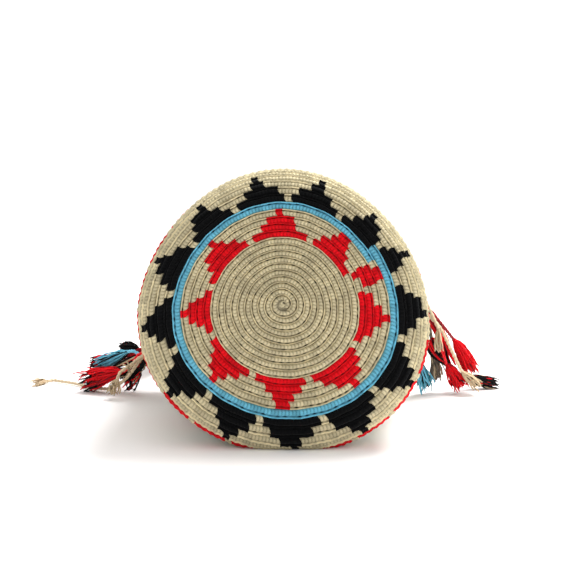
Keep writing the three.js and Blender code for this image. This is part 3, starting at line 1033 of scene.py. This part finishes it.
# Threads come loose along some of the cords: how many, how far they stand off, and their own
# route where they leave the cord (one point alone is the middle of a frayed end)
LOOSE = {
    ("right", "black"): [
        (16, 2.4), (26, 1.9, (149, 101, 56), (156, 102, 45), (166, 104, 36), (179, 107, 23))],
    ("right", "dark_red"): [(12, 1.2, (155, 94, 83), (164, 98, 66), (173, 102, 50), (181, 106, 35))],
    ("right", "red_low"): [
        (12, 2.0), (16, 2.6, (153, 99, 61), (160, 103, 45), (169, 108, 30)),
        (18, 2.0, (160, 95, 72), (167, 99, 57), (172, 102, 45), (179, 106, 31))],
    ("right", "brown"): [(8, 2.2)],
    ("left", "black_low"): [
        (10, 2.4), (30, 3.2, (-143, 102, 44), (-155, 106, 39.5), (-167, 110, 33), (-184, 114, 25)),
        (20, 3.4, (-144, 102, 36), (-156, 106, 29), (-164, 108, 18), (-166, 109, 9))],
    ("left", "red_back"): [(14, 2.6, (-146, 101, 47), (-156, 104, 42), (-166, 107, 35))],
    ("left", "black_high"): [(6, 1.6)],
    ("left", "cream_short"): [(12, 8, (-158.5, 79, 34))],
}

# Each cord: name, yarn, slot on the knot, route after the knot, tuft's far end, tuft width
LEFT = {
    "knot": (-135, 84, 62),
    "axis": (-0.35, 0.35, -0.87),
    "bundle": [(-146, 91, 43)],
    "cords": [
        ("black_high", "black", 3, [(-152, 113, 46)],
         (-171, 124, 48), 13),
        ("cyan", "cyan", 5, [(-156, 98, 47), (-163, 107, 45)],
         (-200, 123, 31), 12),
        ("red", "red", 4, [(-158, 97, 33), (-168, 101, 25)],
         (-213, 121, 14), 20),
        ("red_back", "red", 6, [(-163, 113, 36), (-184, 131, 35)],
         (-208, 142, 27), 10),
        ("black_low", "black", 2, [(-148, 97, 33), (-150, 103, 26)],
         (-169, 115, 15), 18),
        ("cream_long", "cream", 1,
         [(-165, 98, 18), (-182, 109, 6), (-204, 128, 2.6), (-228, 150, 2.6),
          (-243, 160, 2.6), (-254, 166, 2.6), (-260, 161, 2.6)],
         (-271, 144, 5), 9),
        ("cream_short", "cream", 0, [(-160, 85, 33), (-168, 81, 28), (-171, 79, 21)],
         (-176, 76, 6), 12),
    ],
}
RIGHT = {
    "knot": (111.5, 77, 150),
    "axis": (0.66, 0.1, -0.75),
    "bundle": [(136.8, 82, 110), (145, 84, 93)],
    "cords": [
        ("dark_red", "dark_red", 5, [(160, 91, 79), (176, 105, 59)],
         (202, 121, 24), 14),
        ("cream", "cream", 2, [(158, 82, 76), (167, 85, 60), (176, 89, 42), (184, 95, 26)],
         (205, 104, 8), 12),
        ("black", "black", 4, [(160, 99, 70), (166, 109, 48), (175, 118, 28), (190, 126, 13)],
         (228, 136, 7), 12),
        ("red_low", "red", 1, [(157, 90, 70), (164, 98, 47), (169, 103, 33)],
         (186, 110, 9), 14),
        ("brown", "brown", 0, [(152, 99, 64), (155, 107, 48)],
         (163, 117, 16), 10),
        ("cyan", "cyan", 3, [(137, 91, 62), (139, 96, 36)],
         (151, 104, 8), 13),
        ("cream_tuft", "cream", 6, [(157, 77, 74)],
         (157, 81, 50), 7),
    ],
}


def make_tassel(side, tassel):
    knot, along = np.array(tassel["knot"], float), unit(np.array(tassel["axis"]))
    across = unit(np.array([along[1], -along[0], 0]))
    out = unit(np.cross(across, along))
    name = "wound_knot_" + side
    wound = placed(name, knot_mesh(name, knot, across, along, out), THREAD["cream"],
                   ["tassel_knot_" + side])
    for number, (cord, yarn, slot, route, tuft_end, width) in enumerate(tassel["cords"]):
        a, u = SLOT_AT[slot]
        offset = across * SLOT * a + out * SLOT * u
        points = [knot + along * (KNOT_HALF + 0.6) + offset, knot + along * (KNOT_HALF + 9) + offset * 1.15]
        points += [np.array(p) + offset * 1.3 for p in tassel["bundle"]]
        points += [np.array(p, float) for p in route]
        line, length = smooth_path(points, 0.8)
        node = "tassel_%s_%s_" % (side, cord)
        mesh = twisted_mesh(node + "twisted", line, TASSEL_CORD_D, 2, 10)
        piece = placed(node + "twisted", mesh, THREAD[yarn], [node + "cord"])
        mesh = tuft_mesh(node + "threads", line[-1], tuft_end, width, yarn, 10 * number + len(side),
                         line, LOOSE.get((side, cord), ()))
        tuft = placed(node + "threads", mesh, THREADS, [node + "tuft"])
    return wound


make_eyelets()
make_strap()
make_seam("left", math.pi)
make_seam("right", 0.0)
make_drawstring([make_tassel("left", LEFT), make_tassel("right", RIGHT)])
